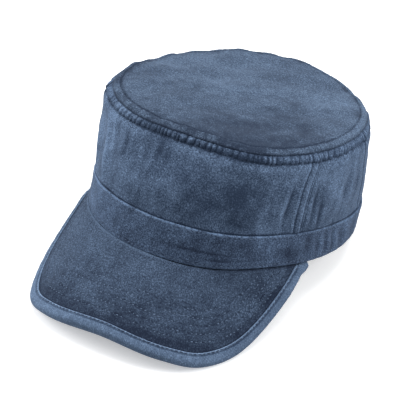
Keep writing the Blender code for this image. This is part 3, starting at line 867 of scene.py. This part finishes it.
def stitch_row(path, start=0.0):
    """Places, directions and outward sides of the stitches along a line of points with outward sides."""
    points, sides = path
    lengths = run_lengths(points)
    middles = np.arange(start + STITCH_LENGTH / 2, lengths[-1] - STITCH_LENGTH / 3, STITCH_LENGTH)
    half = STITCH_LENGTH * 0.36
    run = read_line(middles + half, lengths, points) - read_line(middles - half, lengths, points)
    return read_line(middles, lengths, points), unit(run), read_line(middles, lengths, sides)


def stitches(name, rows, thread=STITCH_THREAD, share=0.70):
    """Join one small thread loop, copied along rows of stitching."""
    clear_selection()
    bpy.ops.mesh.primitive_uv_sphere_add(segments=6, ring_count=5, radius=1.0)
    obj = bpy.context.object
    base = vectors(obj.data.vertices, "co")
    faces = [tuple(face.vertices) for face in obj.data.polygons]
    dice = np.random.default_rng(len(name) + 7)
    points, loops = [], []
    for place, ahead, side in rows:
        side = unit(side - ahead * (side * ahead).sum(axis=-1, keepdims=True))
        across = np.cross(side, ahead)
        for i in range(len(place)):
            long = STITCH_LENGTH * share / 2 * dice.uniform(0.70, 1.25)
            thick = thread * dice.uniform(0.75, 1.20)
            way = unit(ahead[i] + across[i] * dice.uniform(-0.14, 0.14))
            local = (np.outer(base[:, 2] * long, way) + np.outer(base[:, 0] * thick, across[i])
                     + np.outer((base[:, 1] + 0.25) * thick * 0.75, side[i]))
            first = len(points) * len(base)
            loops.extend([tuple(corner + first for corner in face) for face in faces])
            points.append(place[i] + local)
    mesh = bpy.data.meshes.new(name)
    mesh.from_pydata(to_world(np.concatenate(points)).tolist(), [], loops)
    mesh.update()
    mesh.shade_smooth()
    obj.data = mesh
    obj.name = name
    face_outward(obj)
    return obj


def felled_rows(seam, over_side):
    """The two rows of stitching of a felled seam."""
    rows = []
    row = np.linspace(0.02, 0.992, 120)
    for line in FELL_LINES:
        turn = seam_turn(seam, row) + over_side * line / METRES_PER_DEGREE
        start = fold_height(turn) / seam_height(turn)
        height = start + row * (1 - start)
        points = wall_point(turn, height, wall_relief(turn, height)[0] + FELL_HEIGHT - 0.00062)
        rows.append(stitch_row((points, outward(turn, height))))
    return rows


def crown_rows(turn):
    """The stitching below the gathers, round the top and down the four seams."""
    height = 1.0 - STRIP_SHARE + 0 * turn
    strip_line = wall_point(turn, height, wall_relief(turn, height)[0] - CROWN_THREAD_SUNK)
    top_line = top_place(turn, TOPSTITCH_IN + 0 * turn)[0]
    upward = np.tile(np.array([0.0, 0.0, 1.0]), (len(turn), 1))
    rows = [stitch_row((strip_line, outward(turn, height) + np.array([0, 0, 0.35])))]
    rows.append(stitch_row((top_line - upward * CROWN_THREAD_SUNK, upward), start=0.001))
    for seam, over_side in ((FRONT_LEFT, 1), (FRONT_RIGHT, -1), (BACK_LEFT, 1), (BACK_RIGHT, -1)):
        rows += felled_rows(seam, over_side)
    return rows


def band_rows(turn):
    """The stitching below the band's fold and above its rim."""
    rows = []
    tall = fold_height(turn)
    for share in (1 - BAND_ROW_BELOW_FOLD / tall, BAND_ROW_ABOVE_RIM / tall):
        moved = band_relief(turn, share, BAND_PROUD + 0 * share)[0]
        height = share * tall / seam_height(turn)
        line = wall_point(turn, height, BAND_PROUD + moved - 0.00006)
        rows.append(stitch_row((line, outward(turn, height))))
    return rows


def peak_thread_rows(shares):
    """The stitching of the peak, sunk into the cloth here and there and not quite straight."""
    rows = []
    for i, inward in enumerate(PEAK_STITCH_ROWS):
        place, up, _, _, length = peak_place(shares, inward + 0 * shares)
        keep = length > inward + 0.0022
        sunk = 0.00040 * np.clip(0.62 + 0.8 * CRUMPLE(place) + 0.6 * BLOTCH(place), 0, 1)
        astray = unit(np.roll(place, -1, axis=0) - place)[:, [1, 0, 2]]
        wobble = 0.00030 * CRINKLE(place * 0.7)
        place = place + up * (0.00010 - sunk)[:, None] + astray * wobble[:, None]
        rows.append(stitch_row((place[keep], up[keep]), start=0.0009 * i))
    return rows


def tape_rows(shares):
    """The stitching along the tape's upper edge."""
    steps = np.linspace(0, 1, 400)
    across = along_path(BINDING_SECTION, steps)[:60, 0]
    at_row = steps[np.argmin(np.abs(across - (1 - BINDING_ROW_IN / BINDING_WIDTH)))]
    inner = shares[(shares > 0.02) & (shares < 0.98)]
    place, up, _, _ = binding_place(inner, at_row + 0 * inner)
    return [stitch_row((place - up * 0.00010, up))]


def all_stitches():
    """The threads of the crown, the band, the peak and the tape."""
    round_turn = np.linspace(0.0, 360.0, 1800)
    shares = np.linspace(0.0, 1.0, 1500)
    return (stitches("crown_stitches", crown_rows(round_turn), 0.00030, 0.66),
            stitches("band_stitches", band_rows(round_turn), 0.00030, 0.72),
            stitches("peak_stitches", peak_thread_rows(shares), 0.00040, 0.46),
            stitches("binding_stitches", tape_rows(shares)))


class Value:
    """A shader socket that sums and products can be written with."""

    def __init__(self, look, socket):
        self.look = look
        self.socket = socket

    def math(self, operation, *others, clamp=False):
        values = dict(enumerate((self, *others)))
        return self.look.node("Math", {"operation": operation, "use_clamp": clamp}, values)

    def __add__(self, other):
        return self.math("ADD", other)

    def __sub__(self, other):
        return self.math("SUBTRACT", other)

    def __mul__(self, other):
        return self.math("MULTIPLY", other)

    def held(self):
        """The value kept between 0 and 1."""
        return self.math("ADD", 0.0, clamp=True)


class Look:
    """A material and the nodes that it is made of."""

    def __init__(self, name):
        self.material = bpy.data.materials.new(name)
        self.material.use_nodes = True
        self.tree = self.material.node_tree
        self.shader = self.tree.nodes["Principled BSDF"]

    def feed(self, socket, value):
        if isinstance(value, Value):
            self.tree.links.new(value.socket, socket)
        else:
            socket.default_value = value

    def surface(self, inputs):
        for key, value in inputs.items():
            self.feed(self.shader.inputs[key], value)

    def node(self, kind, settings=None, inputs=None, output=0):
        node = self.tree.nodes.new("ShaderNode" + kind)
        for key, value in (settings or {}).items():
            setattr(node, key, value)
        for key, value in (inputs or {}).items():
            self.feed(node.inputs[key], value)
        return Value(self, node.outputs[output])

    def attribute(self, name):
        return self.node("Attribute", {"attribute_name": name}, output="Fac")

    def noise(self, where, scale, detail=2.0, rough=0.5):
        inputs = {"Vector": where, "Scale": scale, "Detail": detail, "Roughness": rough}
        return self.node("TexNoise", None, inputs) - 0.5

    def mix(self, share, one, two):
        return self.node("Mix", {"data_type": "RGBA"}, {"Factor": share, "A": one, "B": two}, "Result")


def washed_cotton(name, dark, light, clouds=0.40, blots=0.55, grain=1.35):
    """Washed twill: uneven dye, a frosted grain, pale worn edges with painted highlights, and painted shade
    in creases and grooves.
    """
    look = Look(name)
    place = look.node("TexCoord", output="Object")
    cloth = look.node("TexCoord", output="UV")
    wear_and_highlight, shade_and_dark_patches, wash_and_painted_light = look.attribute("wear_and_highlight"), look.attribute("shade_and_dark_patches"), look.attribute("wash_and_painted_light")
    large = look.noise(place, 28.0)
    small = look.noise(place, 95.0, 4.0, 0.6)
    specks = look.noise(place, 1500.0, 1.0, 0.6)
    frost = look.noise(place, 1000.0, 1.0, 0.6).math("MAXIMUM", 0.0)
    stretched = look.node("Mapping", None, {"Vector": cloth, "Scale": (1700.0, 700.0, 1.0)})
    threads = look.noise(stretched, 1.0, 1.0)
    slant = look.node("Mapping", None, {"Vector": cloth, "Rotation": (0.0, 0.0, math.radians(62)),
                                        "Scale": (1150.0, 1150.0, 1.0)})
    twill = look.node("TexWave", {"wave_type": "BANDS", "bands_direction": "X"},
                      {"Vector": slant, "Scale": 0.32, "Distortion": 0.6, "Detail": 1.0, "Detail Scale": 2.0},
                      output="Fac") - 0.5
    # The stored values lighten the colour with wear and painted highlight and darken it with painted shade;
    # the wash value adds the uneven wash and patches that are partly painted light and shade.
    calm = large * clouds + small * blots + wash_and_painted_light * 0.28 + wear_and_highlight * 0.40 - shade_and_dark_patches * 0.40 + 0.40
    calm = calm.math("MAXIMUM", 0.0)
    fine = specks * 1.1 + frost * 2.6 + threads * 0.90 + twill * 0.12 - 0.05
    tone = ((calm + fine * (calm * (1.25 * grain) + 0.30 * grain)) * 0.8).held()
    colour = look.mix(tone, (*dark, 1.0), (*light, 1.0))
    height = twill * 0.5 + specks * 0.9 + threads * 0.6
    raised = look.node("Bump", None, {"Height": height, "Distance": 0.00022, "Strength": 0.55}, "Normal")
    look.surface({"Base Color": colour, "Roughness": (specks * 0.15 + 0.9).held(), "Normal": raised,
                  "Sheen Weight": 0.05, "Sheen Roughness": 0.5, "Sheen Tint": (0.55, 0.72, 1.0, 1.0),
                  "Specular IOR Level": 0.12})
    return look.material


def sewing_thread(name, colour):
    """Cotton thread, a little paler than the cloth."""
    look = Look(name)
    place = look.node("TexCoord", output="Object")
    fuzz = look.noise(place, 700.0, 2.0)
    shade = look.mix((fuzz * 1.4 + 0.5).held(), tuple(c * 0.62 for c in colour) + (1.0,), (*colour, 1.0))
    look.surface({"Base Color": shade, "Roughness": (fuzz * 0.1 + 0.85).held(), "Specular IOR Level": 0.2})
    return look.material


def paint_wash_and_light(obj, patches):
    """Store how light or dark each place is: uneven waves of the wash, and patches that are partly wash and
    partly painted light and shade.
    """
    points = vectors(obj.data.vertices, "co")
    store(obj.data, "wash_and_painted_light", 0.20 * WASH(points) + 0.16 * BLOTCH(points) + patches(points))


def from_world(points):
    """Undo the resting lean."""
    rim = to_world(np.array([[0.0, 0, 0], [1, 0, 0], [0, 1, 0], [0, 0, 1]]))
    turned = (rim[1:] - rim[0]).T
    return (points - rim[0]) @ turned


def wall_patches(points):
    """The patches of the wall and the band. Waves in the cloth make their outlines uneven."""
    upright = from_world(points)
    turn = np.degrees(np.arctan2(upright[:, 0] / HEAD_WIDTH, -upright[:, 1] / HEAD_LENGTH))
    turn = turn + 4.0 * BLOTCH(upright * 0.45) + 1.5 * BLOTCH(upright)
    height = upright[:, 2] / CAP_HEIGHT + 0.05 * WASH(upright) + 0.02 * BLOTCH(upright * 0.8)
    shade = 0.0 * turn
    for patch in WALL_PATCHES:
        round_it = bump(turn_about(turn - patch.turn) / patch.reach)
        shade = shade + patch.shade * round_it * bump((height - patch.height) / patch.tall)
    return shade


def spots(rows):
    """A function that adds up the soft round spots of a table at points of the cap."""
    def shade_at(points):
        upright = from_world(points)
        shade = np.zeros(len(points))
        for spot in rows:
            away = np.linalg.norm(upright - np.array([spot.side, spot.along, spot.high]), axis=1)
            shade = shade + spot.shade * bump(away / spot.reach)
        return shade

    return shade_at


def dress(obj, material, slot, *nodes):
    """Give a finished piece its material and body, and hide the solid that it stands for."""
    obj.data.materials.clear()
    obj.data.materials.append(material)
    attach(obj, "root")
    for node in nodes:
        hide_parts(node)


WALL_DARK, WALL_LIGHT = (0.017, 0.029, 0.056), (0.151, 0.222, 0.346)
TOP_DARK, TOP_LIGHT = (0.018, 0.028, 0.051), (0.121, 0.177, 0.268)
BAND_DARK, BAND_LIGHT = (0.014, 0.022, 0.044), (0.134, 0.202, 0.326)
PEAK_DARK, PEAK_LIGHT = (0.009, 0.015, 0.032), (0.086, 0.128, 0.202)
TAPE_DARK, TAPE_LIGHT = (0.023, 0.039, 0.073), (0.190, 0.275, 0.415)


def make_cap():
    """Every piece of the cap, dressed."""
    wall = washed_cotton("washed_wall", WALL_DARK, WALL_LIGHT)
    top = washed_cotton("washed_top", TOP_DARK, TOP_LIGHT, 0.40, 0.65, 1.5)
    band = washed_cotton("washed_band", BAND_DARK, BAND_LIGHT)
    brim = washed_cotton("washed_peak", PEAK_DARK, PEAK_LIGHT, 0.38, 0.68, 1.5)
    tape = washed_cotton("washed_binding", TAPE_DARK, TAPE_LIGHT, 0.10, 0.22, 0.85)
    dark_thread = sewing_thread("dyed_thread", (0.040, 0.060, 0.105))
    pale_thread = sewing_thread("pale_thread", (0.125, 0.180, 0.275))
    plain_thread = sewing_thread("plain_thread", (0.120, 0.175, 0.270))
    around = Seam(360.0 + BACK_RIGHT.turn, BACK_RIGHT.lean)
    panels = (
        ("front_panel", "crown_front", FRONT_RIGHT, FRONT_LEFT, True, True, 270, 88),
        ("left_panel", "crown_side_left", FRONT_LEFT, BACK_LEFT, False, True, 100, 88),
        ("right_panel", "crown_side_right", BACK_RIGHT, FRONT_RIGHT, True, False, 100, 88),
        ("back_panel", "crown_back", BACK_LEFT, around, False, False, 240, 80),
    )
    for name, node, first, last, first_over, last_over, columns, rows in panels:
        piece = wall_panel(name, first, last, first_over, last_over, columns, rows)
        paint_wash_and_light(piece, wall_patches)
        dress(piece, wall, "wall_cotton", node)
    for maker, material, patches, slot, node in (
            (crown_top, top, spots(TOP_SPOTS), "top_cotton", "crown_top"),
            (headband, band, wall_patches, "band_cotton", "headband"),
            (peak, brim, spots(PEAK_SPOTS), "peak_cotton", "peak"),
            (peak_binding, tape, spots(BINDING_SPOTS), "binding_cotton", "peak_binding")):
        piece = maker()
        paint_wash_and_light(piece, patches)
        dress(piece, material, slot, node)
    on_crown, on_band, on_peak, on_tape = all_stitches()
    dress(on_crown, dark_thread, "wall_cotton")
    dress(on_band, plain_thread, "band_cotton")
    dress(on_peak, pale_thread, "peak_cotton")
    dress(on_tape, dark_thread, "binding_cotton")


# The camera, from the photo: where it looks, from which side, how high and how far off, and its lens
CAMERA_TARGET = (0.0329, -0.0608, 0.0915)
CAMERA_TURN = 30.79
CAMERA_ELEVATION = 34.65
CAMERA_ROLL = -1.57
CAMERA_DISTANCE = 1.816
CAMERA_LENS = 256.6


def place_camera():
    """The camera. Its three sides and its place are worked out from its angles."""
    turn, high, roll = (math.radians(value) for value in (CAMERA_TURN, CAMERA_ELEVATION, CAMERA_ROLL))
    back = np.array([math.sin(turn) * math.cos(high), -math.cos(turn) * math.cos(high), math.sin(high)])
    right = np.array([math.cos(turn), math.sin(turn), 0.0])
    up = np.cross(back, right)
    rolled_right = right * math.cos(roll) - up * math.sin(roll)
    rolled_up = right * math.sin(roll) + up * math.cos(roll)
    bpy.ops.object.camera_add()
    camera = bpy.context.object
    camera.name = "camera"
    turned = Matrix(np.stack([rolled_right, rolled_up, back], axis=-1).tolist()).to_4x4()
    turned.translation = np.array(CAMERA_TARGET) + back * CAMERA_DISTANCE
    camera.matrix_world = turned
    camera.data.lens = CAMERA_LENS
    camera.data.sensor_width = 36.0
    camera.data.clip_end = 20.0
    bpy.context.scene.camera = camera


def area_light(name, place, aim, size, power):
    """A round soft light that points at aim."""
    bpy.ops.object.light_add(type="AREA", location=place)
    light = bpy.context.object
    light.name = name
    light.data.shape = "DISK"
    light.data.size = size
    light.data.energy = power
    light.rotation_euler = (Vector(aim) - Vector(place)).to_track_quat("-Z", "Y").to_euler()


def make_studio():
    """A pale floor, a pale sky and three soft lights."""
    bpy.ops.mesh.primitive_plane_add(size=12.0, location=(0, 0, 0))
    floor = bpy.context.object
    floor.name = "floor"
    look = Look("pale_floor")
    look.surface({"Base Color": (0.93, 0.93, 0.93, 1.0), "Emission Color": (1.0, 1.0, 1.0, 1.0),
                  "Emission Strength": 0.36, "Roughness": 0.9, "Specular IOR Level": 0.1})
    floor.data.materials.append(look.material)
    floor.visible_diffuse = False
    world = bpy.data.worlds.new("studio")
    bpy.context.scene.world = world
    world.use_nodes = True
    sky = world.node_tree.nodes["Background"].inputs
    sky["Color"].default_value = (0.97, 0.985, 1.0, 1.0)
    sky["Strength"].default_value = 0.62
    middle = (0, 0, 0.05)
    area_light("overhead", (-0.1, 0.45, 2.0), middle, 1.8, 27.0)
    area_light("left_box", (-1.6, -0.35, 0.9), middle, 1.2, 22.5)
    area_light("right_box", (1.4, 0.5, 0.9), middle, 1.2, 18.0)
    bpy.context.scene.view_settings.view_transform = "Standard"


make_cap()
clear_selection()
place_camera()
make_studio()
